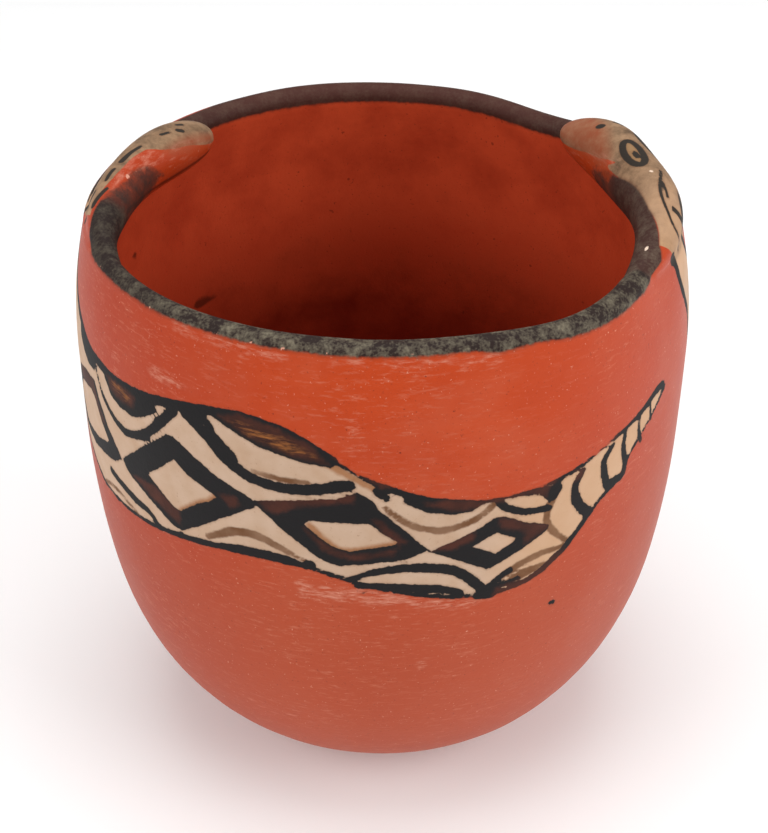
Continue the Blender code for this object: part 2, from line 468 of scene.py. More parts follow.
def head_tree(name, form):
    sizes = [(label, "NodeSocketFloat") for label in RIGHT_HEAD]
    tree, given = new_tree(name, (("Rings", "NodeSocketInt"), ("Segments", "NodeSocketInt"), *sizes))
    sphere = Wire.node(
        tree,
        "GeometryNodeMeshUVSphere",
        None,
        {"Segments": given["Segments"], "Rings": given["Rings"], "Radius": 1.0},
    )
    spot = Wire.node(tree, "GeometryNodeInputPosition")
    across = Wire.node(tree, "ShaderNodeSeparateXYZ", None, {0: spot})
    up, along = across.out("Y"), across.out("Z")

    def middle(share):
        """East and north of the head's middle line, at a share of its length."""
        back = given["Turn"] * given["Length"] * (1 - share) / CREST_RADIUS
        direction = given["Snout"] * (math.pi / 180) - back
        radius = CREST_RADIUS - form_curve(tree, form, 0, share) * given["Width"]
        return radius * direction.math("COSINE"), radius * direction.math("SINE")

    share = (along + 1) / 2
    east, north = middle(share)
    after_east, after_north = middle((share + 0.01).math("MINIMUM", 1))
    before_east, before_north = middle((share - 0.01).math("MAXIMUM", 0))
    ahead_east, ahead_north = after_east - before_east, after_north - before_north
    long = (ahead_east * ahead_east + ahead_north * ahead_north).math("SQRT")
    around = (across * across + up * up).math("SQRT").math("MAXIMUM", 1e-6)
    blunt = (1 - along * along * along * along).math("MAXIMUM", 0).math("SQRT") / around
    sideways = across * blunt * form_curve(tree, form, 2, share) * given["Width"] / 2 / long
    rise = form_curve(tree, form, 1, share) * given["Height"]
    upwards = up * blunt * form_curve(tree, form, 3, share) * given["Height"] / 2
    stretched = Wire.node(
        tree,
        "ShaderNodeCombineXYZ",
        None,
        {
            "X": east - sideways * ahead_north,
            "Y": north + sideways * ahead_east,
            "Z": JAR_HEIGHT + rise + upwards,
        },
    )
    close_tree(tree, Wire.node(tree, "GeometryNodeSetPosition", None, {0: sphere, "Position": stretched}))
    return tree


HEAD_MESH = {"Rings": 150, "Segments": 72}
right_head = run_tree("right head", head_tree("right snake head", RIGHT_FORM), RIGHT_HEAD | HEAD_MESH)
left_head = run_tree("left head", head_tree("left snake head", LEFT_FORM), LEFT_HEAD | HEAD_MESH)
print("Two heads,", HEAD_MESH["Rings"], "rings each")

# %% Build the jar and keep it as a plain mesh
COLUMNS = 480
jar = run_tree(
    "painted_jar",
    tree,
    {
        "Section": section_points,
        "Right head": right_head,
        "Left head": left_head,
        "Columns": COLUMNS,
        "Rim reach": RIM_REACH * JAR_HEIGHT,
        "Out of round": 1.0,
        "Hand marks": 0.35,
        "Seed": 3.0,
    },
)
graph = bpy.context.evaluated_depsgraph_get()
made = bpy.data.meshes.new_from_object(jar.evaluated_get(graph))
jar.modifiers.clear()
jar.data = made
for helper in (right_head, left_head, section_points):
    bpy.data.objects.remove(helper)
made.shade_smooth()
check = bmesh.new()
check.from_mesh(made)
open_edges = sum(not edge.is_manifold for edge in check.edges)
volume = check.calc_volume(signed=True) * 1e6
check.free()
made.calc_loop_triangles()
print(len(made.loop_triangles), "triangles,", open_edges, "open edges,", round(volume), "cubic cm of clay")

# %% [markdown]
# ## Where the paint goes
# A painter works on the finished shape, so the painting is laid out on the wall as a flat drawing:
# degrees round the jar across, and millimetres above the table up. Both snakes are the same
# drawing, because the second one is the first one turned round the jar. Each shape gives every
# point of the mesh a distance in mm to its edge, above zero inside. The material later turns these
# distances into ragged brush edges, which stay sharp although the mesh is coarser than the paint.

# %% Distances to lines and outlines
MM_PER_DEGREE = 1.3
FAR_OUTSIDE = -4.0


def smooth_curve(corners, steps=5):
    """A curve through the corners, with a few points between each two."""
    corners = np.array(corners, float)
    padded = np.concatenate([[2 * corners[0] - corners[1]], corners, [2 * corners[-1] - corners[-2]]])
    points = []
    for before, low, high, after in zip(padded, padded[1:], padded[2:], padded[3:]):
        for u in np.arange(steps) / steps:
            points.append(cubic(low, high, (high - before) / 2, (after - low) / 2, u))
    return np.array([*points, corners[-1]])


def to_segment(x, y, start, end):
    """How far points are from a straight stroke, and the share of it where each comes nearest."""
    along = end - start
    share = ((x - start[0]) * along[0] + (y - start[1]) * along[1]) / max(along @ along, 1e-9)
    share = np.clip(share, 0, 1)
    return np.hypot(x - start[0] - share * along[0], y - start[1] - share * along[1]), share


print("One degree round the jar is drawn as", MM_PER_DEGREE, "mm")

# %% A drawing that keeps distances
class Drawing:
    """Paint on one part of the jar, in flat coordinates: across and up for each point."""

    def __init__(self, across, up, scale):
        self.scale = np.array(scale)
        self.across = across * self.scale[0]
        self.up = up * self.scale[1]
        self.paint = {}

    def put(self, kind, near, distance):
        field = self.paint.setdefault(kind, np.full(len(self.across), FAR_OUTSIDE))
        field[near] = np.maximum(field[near], distance)

    def near(self, points, margin=4):
        low, high = points.min(axis=0) - margin, points.max(axis=0) + margin
        inside = (self.across > low[0]) & (self.across < high[0]) & (self.up > low[1]) & (self.up < high[1])
        return np.nonzero(inside)[0]

    def line(self, kind, corners, *widths):
        """A brush line through its corners. The widths in mm are spread evenly from end to end."""
        points = (smooth_curve(corners) if len(corners) > 2 else np.array(corners, float)) * self.scale
        steps = np.linspace(0, 1, len(points))
        halves = np.interp(steps, np.linspace(0, 1, len(widths)), widths) / 2
        near = self.near(points)
        best = np.full(len(near), FAR_OUTSIDE)
        for start, end, first, last in zip(points, points[1:], halves, halves[1:]):
            away, share = to_segment(self.across[near], self.up[near], start, end)
            best = np.maximum(best, first + (last - first) * share - away)
        self.put(kind, near, best)

    def lines(self, kind, strokes):
        """Brush lines, each one given as its corners and then its widths."""
        for corners, *widths in strokes:
            self.line(kind, corners, *widths)

    def distance(self, outline):
        """Points near a closed outline, and their distance inside it."""
        near = self.near(outline)
        x, y = self.across[near], self.up[near]
        away = np.full(len(near), -FAR_OUTSIDE)
        inside = np.zeros(len(near), bool)
        for start, end in zip(outline, np.roll(outline, -1, axis=0)):
            away = np.minimum(away, to_segment(x, y, start, end)[0])
            if start[1] != end[1]:
                crossing = start[0] + (y - start[1]) / (end[1] - start[1]) * (end[0] - start[0])
                inside ^= ((start[1] > y) != (end[1] > y)) & (x < crossing)
        return near, np.where(inside, away, -away)

    def area(self, kind, corners, hole=None, smooth=False):
        """A filled shape, straight or rounded between its corners, with a hole if it has one."""
        outline = smooth_curve([*corners, corners[0]])[:-1] if smooth else np.array(corners, float)
        points = outline * self.scale
        near, distance = self.distance(points)
        if hole is not None:
            whole = np.full(len(self.across), FAR_OUTSIDE)
            around, gap = self.distance(np.array(hole, float) * self.scale)
            whole[around] = gap
            distance = np.minimum(distance, -whole[near])
        self.put(kind, near, distance)

    def dot(self, kind, place, size):
        """A round touch of the brush."""
        self.line(kind, (place, place), size)


print("Where nothing is painted, the distance is", FAR_OUTSIDE, "mm")

# %% [markdown]
# ## One rattlesnake
# The body is a cream band that comes down from the neck on the left, runs along the belly and
# narrows into the rattle. Down its middle go diamonds with a cream heart. Above and below them go
# arcs and dark lenses, and rings close the tail.

# %% The cream band and the line round it
# The edges of the cream band, as direction in degrees and height in mm
BACK_EDGE = (
    (182.6, 152), (183.6, 143.5), (186.4, 138), (189.6, 133.5), (193.6, 129), (198.3, 124.8), (205, 121.1),
    (211, 120), (217, 119.9), (224.5, 120.9), (233.5, 123), (241, 125), (249, 125.4), (255, 123.6),
    (262, 118.6), (270, 112.5), (278, 108.3), (286, 106.4), (292, 106.2), (299.7, 106.9), (309, 110.1),
    (314, 111.8), (318, 112.6), (322, 113.4), (326.2, 114.8), (329.6, 114.9), (331, 113.8),
)
BELLY_EDGE = (
    (331, 113.2), (329.4, 111.7), (326, 109.3), (322.6, 107.2), (319.2, 104.6), (316.8, 101), (312.4, 97.2),
    (309.2, 94.4), (306, 90.4), (302.9, 86.2), (297.5, 81.8), (290, 79.6), (281.8, 80.9), (271.7, 84),
    (262.7, 87.5), (254, 90), (246, 90), (235.8, 88.2), (225, 86), (217.4, 85), (208, 84.7), (201, 88),
    (194.5, 93), (189.5, 100), (187, 108), (184.5, 116), (183.2, 122.6), (180.2, 128.4), (177.8, 133.8),
    (176.6, 138.3), (174, 143.5), (173, 152),
)
# The outline round the band: corners, then the widths of the stroke
OUTLINES = (
    (((182.6, 152), (183.6, 143.5), (186.4, 138), (189.6, 133.5), (193.6, 129), (198.3, 124.8)), 1.8, 2.2),
    (((198.3, 124.8), (205, 121.1), (211, 120.2), (217, 120)), 2.4, 2.2),
    (((217, 120), (224.5, 121), (233.5, 123), (239, 124.2)), 2.2, 2.3, 2.8),
    (((239, 124.4), (244, 125.3), (249, 125.3), (255, 123.6), (262, 118.6)), 2.4, 1.9, 2.2),
    (((262, 118.6), (266, 115.4), (270, 112.6)), 0.9, 0.8, 1.2),
    (((270, 112.6), (278, 108.4), (283, 107), (289, 106.2)), 1.7, 1.5, 0.9),
    (((289, 106.2), (294.5, 106.3), (299.7, 106.9)), 0.8, 1.2),
    (((299.7, 106.9), (304.6, 108.6), (309, 110.2), (314, 112)), 1.4, 1.2, 0.7, 1.1),
    (((313, 111.4), (318, 112.4), (322, 113.2), (326.2, 114.4), (329.4, 114.3), (330.8, 112.8)), 1.2, 1.7,
     2.2, 1.8),
    (((331, 113), (329.4, 111.7), (326, 109.3), (322.6, 107.2), (319.2, 104.6), (316.8, 101)), 1.1, 1.0),
    (((317, 99.6), (312.4, 97.2), (309.2, 94.4), (306, 90.4), (302.9, 86.2)), 1.8, 1.4, 1.6, 2.0),
    (((302.9, 86.2), (297.5, 81.8), (293, 80.3), (289, 79.6)), 2.0, 1.7, 1.2),
    (((289, 79.9), (286.6, 80)), 2.8, 2.4),
    (((287, 80.2), (281.8, 80.9), (271.7, 84), (262.7, 87.5)), 1.3, 1.1, 1.2),
    (((262.7, 87.5), (258.6, 89.1), (254.5, 90.2)), 1.1, 1.3, 2.0),
    (((255, 90.2), (251, 90.7), (246, 90.5), (240.5, 89.4)), 2.2, 2.8, 2.6, 1.6),
    (((241, 89.4), (233, 87.8), (225, 86)), 1.7, 1.3),
    (((225, 86), (217.4, 85), (208, 84.7)), 1.3, 0.9),
    (((208, 84.7), (201, 88), (194.5, 93), (189.5, 100), (187, 108), (184.5, 116), (183.2, 122.6)), 1.2,
     1.6),
    (((183.2, 122.6), (180.2, 128.4), (177.8, 133.8), (176.6, 138.3), (175.8, 140)), 1.8, 2.4),
)
print("The band has", len(BACK_EDGE) + len(BELLY_EDGE), "corners and", len(OUTLINES), "strokes round it")

# %% The diamonds
# Corners of each diamond and of its cream heart
DIAMONDS = (
    (((190.4, 101.5), (196, 109.9), (202, 112.8), (207.9, 113.8), (209.3, 111), (212.6, 105), (217.5, 98.9),
      (214.1, 96), (204.3, 93.4), (196.4, 93.6)),
     ((193.4, 101), (198, 107), (205.6, 109.8), (207.6, 108.4), (209.8, 104), (212.6, 100), (206.5, 97.2),
      (199, 95.8))),
    (((217.5, 99.1), (220, 102.2), (224.5, 107.4), (228.4, 111.4), (231, 114.6), (232.6, 114.8),
      (235.4, 113), (241.5, 108.7), (246, 106.5), (248.4, 104.9), (248.2, 103), (241.1, 96.8),
      (233.4, 89.4), (231.2, 89.7), (224.5, 93.9), (219, 97)),
     ((225.4, 100.6), (232.5, 108.6), (235.6, 106), (241.3, 103.3), (240, 101.4), (237, 99.2), (233, 94.9),
      (231.4, 95.4), (228.1, 98.4))),
    (((248, 104.9), (256.3, 107.4), (262.8, 109), (265, 110.3), (268.2, 109.6), (269.8, 106.2), (273, 102),
      (277.9, 95), (274, 92.9), (262.7, 90.6), (259.5, 92.2), (253.2, 98.8)),
     ((257, 101.1), (258.2, 102.4), (268, 102.8), (272.8, 97.5), (269, 96.3), (264.8, 94.9), (261.8, 96))),
    (((278, 94.6), (285.6, 98.8), (289, 101.5), (291, 101.2), (294, 98.7), (299.4, 95.4), (299.3, 94),
      (294.6, 90.8), (288.2, 87.1), (284.3, 90.1)),
     ((285.2, 94.5), (289.6, 97.2), (293.4, 94), (289.5, 91.3))),
)
print(len(DIAMONDS), "diamonds with a cream heart")

# %% The strokes of the brush
# Strokes of the full black: corners, then their widths
BLACK_LINES = (
    (((209, 118.4), (210.2, 115.4), (212.4, 112), (216, 109.3), (219.6, 108)), 0.8, 1.3, 1.7, 2.2),
    (((219.6, 108), (223.2, 109.6), (226.7, 112.8), (229.8, 117), (232.8, 121.4)), 2.2, 2.3, 2.7),
    (((223.6, 109.6), (226.4, 111.1)), 2.0, 1.9),
    (((212.3, 91.9), (216.4, 91), (221, 89.8), (224.5, 89.3), (226.9, 87.4)), 2.1, 2.2, 1.5),
    (((235.7, 122), (239.7, 118.6), (242.4, 115.4), (245.3, 112.6)), 3.2, 3.0),
    (((245.3, 112.6), (248.2, 110.9), (253, 110), (258, 110.5), (264.8, 112.6)), 2.9, 2.6, 3.0),
    (((238, 122.4), (240, 121.4), (240.8, 119.4), (242.8, 117.2), (244.7, 115)), 1.8, 2.4),
    (((264.7, 87.1), (268.5, 89.3), (273, 90.3), (277.4, 90.2)), 1.4, 2.6),
    (((277.4, 90.2), (281.8, 88.8), (285, 85.5), (288.3, 80.4)), 2.6, 2.6),
    (((265.9, 85.6), (271, 85.2), (277.4, 84.2), (281.8, 82.8), (283.4, 81.6)), 1.8, 2.4, 1.8),
    (((269.3, 111.4), (270.9, 109.3)), 2.0, 1.7),
    (((289.6, 105.3), (291.5, 103.2), (294.5, 101.2), (299, 100.2)), 1.8, 1.9),
    (((288.8, 82), (290.7, 84.4), (292.4, 85.4)), 2.0, 1.6),
    (((290.2, 81.4), (294, 82.4)), 1.9, 1.3),
    (((305.7, 107.2), (304.4, 104), (304.6, 100.5), (306, 96.9), (308, 94)), 1.8, 2.5, 2.8),
    (((312.6, 109.8), (310.7, 106.8), (311.2, 103), (312, 99.7)), 1.8, 2.4),
    (((312.6, 98.9), (316.4, 98.9)), 2.8, 2.4),
    (((316, 111.6), (315.9, 107), (317, 102), (316.6, 99.4)), 1.6, 2.2),
    (((320.6, 112.6), (320.6, 108.5), (321.8, 104.8)), 1.2, 1.5),
    (((324.4, 113), (325.2, 108)), 1.1, 1.3),
    (((257.6, 90.8), (258.4, 90.2)), 1.5, 1.5),
    (((266, 109.4), (266.8, 108.8)), 2.8, 2.8),
)
# Fainter strokes, where the brush was nearly dry or the paint thin
BROWN_LINES = (
    (((239, 91.2), (241.5, 93), (244.5, 95.2), (248.5, 95.6), (253, 93.4), (257.4, 90.9)), 1.6, 2.4, 2.0,
     1.0),
    (((270.6, 107), (273.9, 103), (277.5, 100.9), (281, 100.2), (286.3, 102.4), (289, 105.6)), 1.5, 1.8,
     1.8, 1.6),
    (((299.6, 102), (298.8, 99), (299.2, 95.5), (301, 92), (303.6, 88.5)), 2.1, 1.8, 1.5),
    (((290.7, 84.2), (294.6, 86.5), (298.4, 87.6), (303, 87.4)), 1.8, 1.9, 1.5),
    (((207.9, 85.4), (211, 87), (215, 87.5), (221, 85.9)), 1.1, 1.1),
    (((248.5, 112.7), (254, 112.1), (258, 112.3)), 1.2, 1.4, 1.2),
)
# Broad tan strokes of thinned paint
TAN_LINES = (
    (((261, 118), (266, 114.1), (270, 111.2)), 2.2, 1.4),
    (((241.6, 103.7), (240, 101.2), (237, 98.9), (233.4, 94.9)), 2.2, 2.0),
    (((258, 101), (261.6, 96.2), (265, 95), (272.8, 97.4)), 1.8, 2.0),
)
STROKES = {"black": OUTLINES + BLACK_LINES, "brown": BROWN_LINES, "tan": TAN_LINES}
print("Strokes:", {kind: len(strokes) for kind, strokes in STROKES.items()})

# %% The filled shapes
# Dark lenses along the back, and one small brown lens by the rattle
LENSES = (
    ((199, 124), (199.6, 120), (202, 117.6), (205, 116), (208.2, 116.6), (209.2, 119), (208.4, 120.6)),
    ((212.4, 120), (213, 118), (215.2, 115.2), (218.4, 113.9), (222, 113.9), (225.6, 115.7), (228.9, 119),
     (228.2, 121.6), (220, 120.6)),
    ((239.8, 124.6), (241.6, 123.2), (246, 120.8), (250.5, 118.9), (256.3, 117.4), (261.8, 116.6),
     (262.8, 118), (258, 121.8), (250, 125.2)),
    ((273.4, 110.6), (273.6, 108.2), (277.5, 105.4), (281.5, 104.2), (285, 104.3), (286.4, 105.6),
     (289, 106.2)),
    ((293.6, 105.8), (297.4, 104.4), (299, 101.8), (300.4, 101.9), (301.6, 104.6), (301.2, 106.8),
     (298.6, 105.6)),
)
BROWN_LENSES = (
    ((291.2, 82.2), (292.4, 83.6), (295, 84.6), (299, 84.9), (300.4, 84.4), (297.6, 82.8), (294, 81.6)),
)
# Where the black is thin and fired brown, and inside the two long lenses the amber that shows there
THIN_PLACES = (
    ((213.6, 119.4), (214.8, 116.8), (218, 115.6), (222.6, 116.4), (223.4, 119.4), (219, 119.8)),
    ((241.8, 124.4), (247, 121.2), (255, 118.5), (261.4, 117.4), (259, 121.2), (252, 124.8), (246, 125.6)),
    ((249, 105.3), (256, 107.7), (265.4, 110.6), (265.6, 108.4), (256, 105.6), (252.4, 102.6),
     (250.4, 103.2)),
    ((257, 100.2), (262, 95.2), (265, 93.9), (270, 95), (273.2, 97), (272, 94.4), (265, 92.4), (260, 94.6)),
    ((268.4, 104), (270, 103.4), (274, 97.8), (272.4, 97.2)),
    ((278, 94.8), (285.6, 98.6), (285.6, 96.6), (282, 94.6)),
    ((290, 101.6), (299.6, 95), (295, 91.8), (294.6, 95.6), (290, 98.4)),
    ((221, 97), (233, 90.8), (233, 94.6), (227, 98.2)),
    ((241.8, 104.2), (244, 101.4), (246, 102.4), (245, 104.8)),
    ((262, 119.5), (270, 112.4), (272, 112.4), (272, 116), (262, 122)),
    ((286, 108), (286, 105.6), (292, 105.4), (299, 105.8), (301, 108.4)),
    ((293, 107), (297, 104.2), (298.6, 103.4), (299, 106.6)),
    ((277, 107.8), (281, 105.4), (286, 104.8), (289.4, 106), (286, 107.2), (281, 108.2)),
    ((304, 107.8), (306.4, 107.8), (306.2, 105), (303.6, 105)),
    ((308, 111.4), (308, 109), (314, 111), (314, 113)),
    ((302.9, 87.6), (297.5, 83), (290, 81), (289.4, 78), (298, 79), (304, 84)),
    ((324, 105), (317, 99), (318, 102), (329.6, 111.2), (331.6, 110)),
    ((198, 112), (207, 113.4), (209.6, 108), (211.6, 104.4), (209.6, 104), (206.6, 109.8), (196, 107)),
)
GLAZES = (
    ((214.8, 118.6), (216.5, 117.4), (219.4, 116.9), (221.8, 117.6), (222, 118.8), (218, 119.2)),
    ((244, 123.8), (248, 121.4), (254, 119.5), (259.6, 118.9), (257, 121), (250.6, 123.8)),
)
FILLED = {"black": LENSES, "brown": BROWN_LENSES, "thin": THIN_PLACES, "glaze": GLAZES}
print("Filled shapes:", {kind: len(outlines) for kind, outlines in FILLED.items()})

# %% Draw the snake
PAINTING_LOWERED = 0.4


def draw_snake(wall):
    wall.area("cream", np.concatenate([smooth_curve(BACK_EDGE), smooth_curve(BELLY_EDGE)]))
    for corners, heart in DIAMONDS:
        wall.area("black", corners, heart)
    for kind, outlines in FILLED.items():
        for outline in outlines:
            wall.area(kind, outline)
    for kind, strokes in STROKES.items():
        wall.lines(kind, strokes)


print("The whole painting sits", PAINTING_LOWERED, "mm lower than it is drawn")

# %% [markdown]
# ## The painted heads
# A head has its own flat drawing: millimetres along it from the neck, and degrees round it, with
# 0 on top, positive outwards and negative towards the mouth of the jar. Its crown is cream, with
# nostrils and ringed eyes, its lower side stays red, and the dark paint of the rim runs up its
# inner side.

# %% The strip for a head, and a ring for its eyes
HEAD_MM_PER_DEGREE = 0.125
HEAD_MM_ALONG = 0.9
EYE_RING = 1.6


def ring(centre, long_half, short_half, count=20):
    """An ellipse from two half axes, which need not be square to each other."""
    turns = np.linspace(0, math.tau, count + 1)[:, None]
    return np.array(centre) + np.array(long_half) * np.cos(turns) + np.array(short_half) * np.sin(turns)


print("A head is drawn on a strip", round(360 * HEAD_MM_PER_DEGREE), "mm wide")

# %% Draw the right head
# Each eye: its centre, and the ends of its long and short half axes
EYES = (((53.8, -11), (5.4, -2.0), (2.0, 15)), ((60.0, 40), (5.4, 2.0), (-2.0, 15)))
RIGHT_STROKES = (
    (((72.0, -20), (71.1, -18)), 2.0, 1.9),
    (((72.0, 14), (70.4, 20)), 1.7, 1.6),
    (((46, 16), (40, 3), (35.3, 3), (31, 17), (27.9, 44), (28.4, 100), (29, 150)), 0.8),
    (((41, 8), (35.6, 16)), 0.8),
    (((22.6, 92), (23.4, 108), (24.4, 128), (25.5, 144), (26, 180)), 2.2, 2.4),
)


def draw_right_head(head):
    head.area(
        "cream",
        ((19.6, 24), (22, 14), (26.6, -6), (31.5, -30), (37, -42), (42, -52), (49, -62), (55, -66),
         (57.5, -64), (53.5, -44), (58, -54), (62, -66), (66, -72), (76, -88), (86, -100), (96, -104),
         (98, 60), (90, 210), (30, 210), (24.4, 128), (21, 55)),
    )
    head.area(
        "band",
        ((8, 75), (17, 60), (19.6, 24), (22, 12), (26.6, -8), (31.5, -27), (37, -37), (42, -45), (49, -60),
         (57, -76), (61, -95), (64, -120), (64, -200), (8, -200)),
    )
    head.area("fade", ((53, -76), (58, -66), (70, -80), (70, -200), (50, -200)))
    for centre, long_half, short_half in EYES:
        head.area("tan", ring(centre, long_half, short_half))
        head.line("black", ring(centre, long_half, short_half), EYE_RING)
        pupil = (centre[0] - 1.2, centre[1] + 1)
        head.area("black", ring(pupil, np.array(long_half) * 0.32, np.array(short_half) * 0.34))
    head.lines("black", RIGHT_STROKES)
    head.area("black", ((42, 46), (38.6, 47), (35.4, 58), (31, 90), (36, 84), (39, 66)), smooth=True)
    head.area("chip", ring((44.7, -4), (0.5, 0), (0, 4)))
    head.area("chip", ring((17.4, -9), (0.8, 1), (0.1, 6)))
    head.line("rub", ((52, -43), (56.5, -50), (60, -58), (63, -66), (68, -74)), 1.6, 1.0)
    head.area("wash", ((54, -80), (58, -44), (66, -24), (74, -6), (84, 14), (98, 20), (98, -90), (76, -90)))


print("The right head has", len(EYES), "painted eyes")

# %% Draw the left head
LEFT_STROKES = (
    (((68.6, -31), (67.6, -25)), 1.7, 1.6),
    (((71.8, -12), (70.4, -7)), 1.4, 1.3),
    (((64.4, -19), (61.8, -13)), 1.1, 1.2),
    (((53.4, -5), (49.6, 2), (45.6, 5)), 1.2, 2.0),
    (((41.6, 10), (39.5, 13), (37, 13)), 1.5, 1.3),
    (((32.7, 1), (30.4, 14), (28, 29)), 1.4, 2.4),
    (((34, 40), (30, 70), (29, 110), (31.8, 150)), 1.4, 1.7),
)


def draw_left_head(head):
    head.area(
        "cream",
        ((25, 40), (27, 30), (32, 12), (37, -2), (42, -9), (48, -13), (53, -22), (56, -44), (60, -58),
         (66, -66), (74, -82), (84, -98), (96, -80), (98, 60), (90, 210), (32, 210), (31.8, 100)),
    )
    head.area(
        "band",
        ((6, 80), (14, 78), (19, 60), (21, 40), (26.5, 14), (31, -8), (34, -26), (38, -38), (42, -34),
         (46, -44), (49, -60), (50.6, -80), (49, -100), (45, -112), (41, -130), (39, -200), (6, -200)),
    )
    head.area("fade", ((29, 20), (36, -20), (44, -30), (60, -60), (60, -200), (29, -200)))
    head.lines("black", LEFT_STROKES)
    head.area("chip", ((38.6, -35), (39.4, -26), (40.6, -27), (40, -37)))
    patch = ((33, -14), (42, -10), (48, -14), (53, -30), (55, -58), (49, -58), (41, -44))
    head.area("rub", patch, smooth=True)
    head.line("rub", ((60, -56), (66, -60), (74, -74), (80, -92)), 1.2, 0.8)
    head.area("wash", ((56, -50), (64, -48), (74, -56), (84, -70), (86, -90), (66, -78), (58, -66)))
    # Painted shadow: a dark line along the underside of the head, where it hangs over the inner wall
    head.line("smudge", ((78, -112), (66, -114), (54, -118), (46, -114), (38, -103), (31, -86)), 1.0, 1.7)


print("The left head has", len(LEFT_STROKES), "black strokes")

# %% [markdown]
# ## From a point to its place in a drawing
# The drawings are flat, but the points of the mesh lie on a round wall and on two heads. On the
# wall, the rim's bumps are taken off a point again, and its direction and height are what is left.
# A head is unrolled along the same curves that formed it, so its eyes stay on its crown when its
# form is changed.

# %% Where a point lies on the wall
def bumps_at(bumps, direction):
    amount = np.zeros(len(direction))
    for centre, half_width, far in bumps:
        away = ((direction - centre + 180) % 360 - 180) / half_width
        amount += far * np.exp(-away * away)
    return amount


def on_wall(points):
    """Direction, height and radius without the rim's bumps, and which points are outside."""
    direction = np.degrees(np.arctan2(points[:, 1], points[:, 0])) % 360
    reach = blend(RIM_REACH * JAR_HEIGHT, JAR_HEIGHT, points[:, 2])
    height = points[:, 2] - bumps_at(RIM_RISES, direction) * MM * reach
    outer_line = outer_face()[::-1]
    inner_line = inner_face(outer_face())[::-1]
    outer_radius = np.interp(height, outer_line[:, 1], outer_line[:, 0])
    middle = (outer_radius + np.interp(height, inner_line[:, 1], inner_line[:, 0])) / 2
    radius = np.hypot(points[:, 0], points[:, 1]) - bumps_at(RIM_SWELLS, direction) * MM * reach
    inner_side = blend(RIM_THICKNESS / 2, -RIM_THICKNESS / 2, radius - middle)
    radius -= bumps_at(THIN_LIP, direction) * MM * reach * inner_side
    return direction, height, radius, (radius > middle) | (height < BASE_THICKNESS / 2)


front_of_belly = np.array([[0, -BELLY_RADIUS, BELLY_HEIGHT]])
print("The front of the belly lies at", on_wall(front_of_belly)[0].round(1), "degrees")

# %% Where a point lies on a head
# Points this far from a head's middle line, in half-widths, still take its drawing, which fades in
HEAD_REACH = 1.35
HEAD_FADES = 1.15
HEAD_BELOW_CREST = 6 * MM


def on_head(form, sizes, direction, points):
    """Which points lie on a head, their place along it in mm and round it in degrees, and how far out."""
    away = np.radians((sizes["Snout"] - direction + 180) % 360 - 180)
    share = 1 - sizes["Turn"] * away * CREST_RADIUS / sizes["Length"]
    inset, rise, broad, tall = between(form, share).T
    aside = np.hypot(points[:, 0], points[:, 1]) - (CREST_RADIUS - inset * sizes["Width"])
    above = points[:, 2] - (JAR_HEIGHT + rise * sizes["Height"])
    blunt = np.sqrt(np.maximum(1 - (2 * np.clip(share, 0, 1) - 1) ** 4, 1e-4))
    far = np.hypot(aside / (broad * sizes["Width"] / 2), above / (tall * sizes["Height"] / 2)) / blunt
    high_enough = points[:, 2] > SHOULDER - HEAD_BELOW_CREST
    within = (share > 0) & (share < 1.02) & (far < HEAD_REACH) & high_enough
    return within, share * sizes["Length"] / MM, np.degrees(np.arctan2(aside, above)), far


print("A head's drawing fades out from", HEAD_FADES, "to", HEAD_REACH, "half-widths away")

# %% [markdown]
# ## The dark rim and the wear
# The potter ran a broad brush of black paint round the lip. It reaches a few millimetres down
# both sides. Outside, its edge wanders, and in two places it leaves the crest of the lip bare.
# Every mark of wear is in one place only, and so is a painted highlight under the rim, so the
# marks are drawn straight on the jar and not on the snakes.

# %% Marks of wear, a painted highlight, and the paint round the rim
# Direction in degrees, and how far the dark paint reaches down the outside in mm from the crest
RIM_PAINT_OUTSIDE = (
    (0, 3.8), (45, 3.6), (70, 3.8), (78, 1.5), (88, 1.5), (95, 5), (122, 5), (132, 0.6), (150, 0.4),
    (165, 2), (185, 3.6), (215, 3.7), (285, 3.7), (290, 4.6), (297, 3.9), (303, 5), (314, 5.5), (324, 5),
    (331, 3), (345, 3.6), (360, 3.8),
)
RIM_PAINT_INSIDE = 5.9
LIP_ZONE = 12


def wear(outside, inside):
    """Marks that the photograph shows once, in direction and height, outside and inside."""
    outside.dot("black", (301.9, 70.3), 2.3)
    outside.dot("black", (266.9, 82.9), 0.7)
    outside.dot("chip", (277.1, 58.8), 1.0)
    outside.dot("rub", (277.1, 59.6), 3.0)
    outside.area("rub", ((255, 84), (268, 84.6), (281, 80.4), (290, 78), (284, 76.5), (268, 80), (256, 80)))
    outside.area("rub", ((226, 128.5), (231, 129.6), (236, 128), (233, 126.4), (227, 127)))
    # Painted highlight: two pale lines just under the rim, where the shoulder turns in to the lip
    outside.line("rub", ((232, 140.2), (243, 140.2), (254, 140)), 1.6)
    outside.line("rub", ((262, 140), (280, 140), (290, 139.6)), 1.0)
    inside.dot("smudge", (159.2, 114.0), 2.4)
    inside.dot("smudge", (153.1, 116.1), 1.5)
    inside.line("smudge", ((133.4, 88.3), (138.4, 87.2)), 2.6, 3.8)


def rim_band(direction, height, radius, outside):
    """How far inside the dark paint of the rim each point lies, in mm."""
    round_lip = RIM_THICKNESS / 2 * np.arctan2(radius - CREST_RADIUS, np.maximum(height - SHOULDER, 0)) / MM
    down = np.maximum(SHOULDER - height, 0) / MM
    from_crest = round_lip + np.where(outside, down, -down)
    outer_reach = np.interp(direction, *np.array(RIM_PAINT_OUTSIDE).T)
    near_rim = np.minimum(outer_reach - from_crest, from_crest + RIM_PAINT_INSIDE)
    return np.where(np.abs(from_crest) < LIP_ZONE, near_rim, FAR_OUTSIDE)


print("The rim's paint ends", max(reach for _, reach in RIM_PAINT_OUTSIDE), "mm down at its lowest")

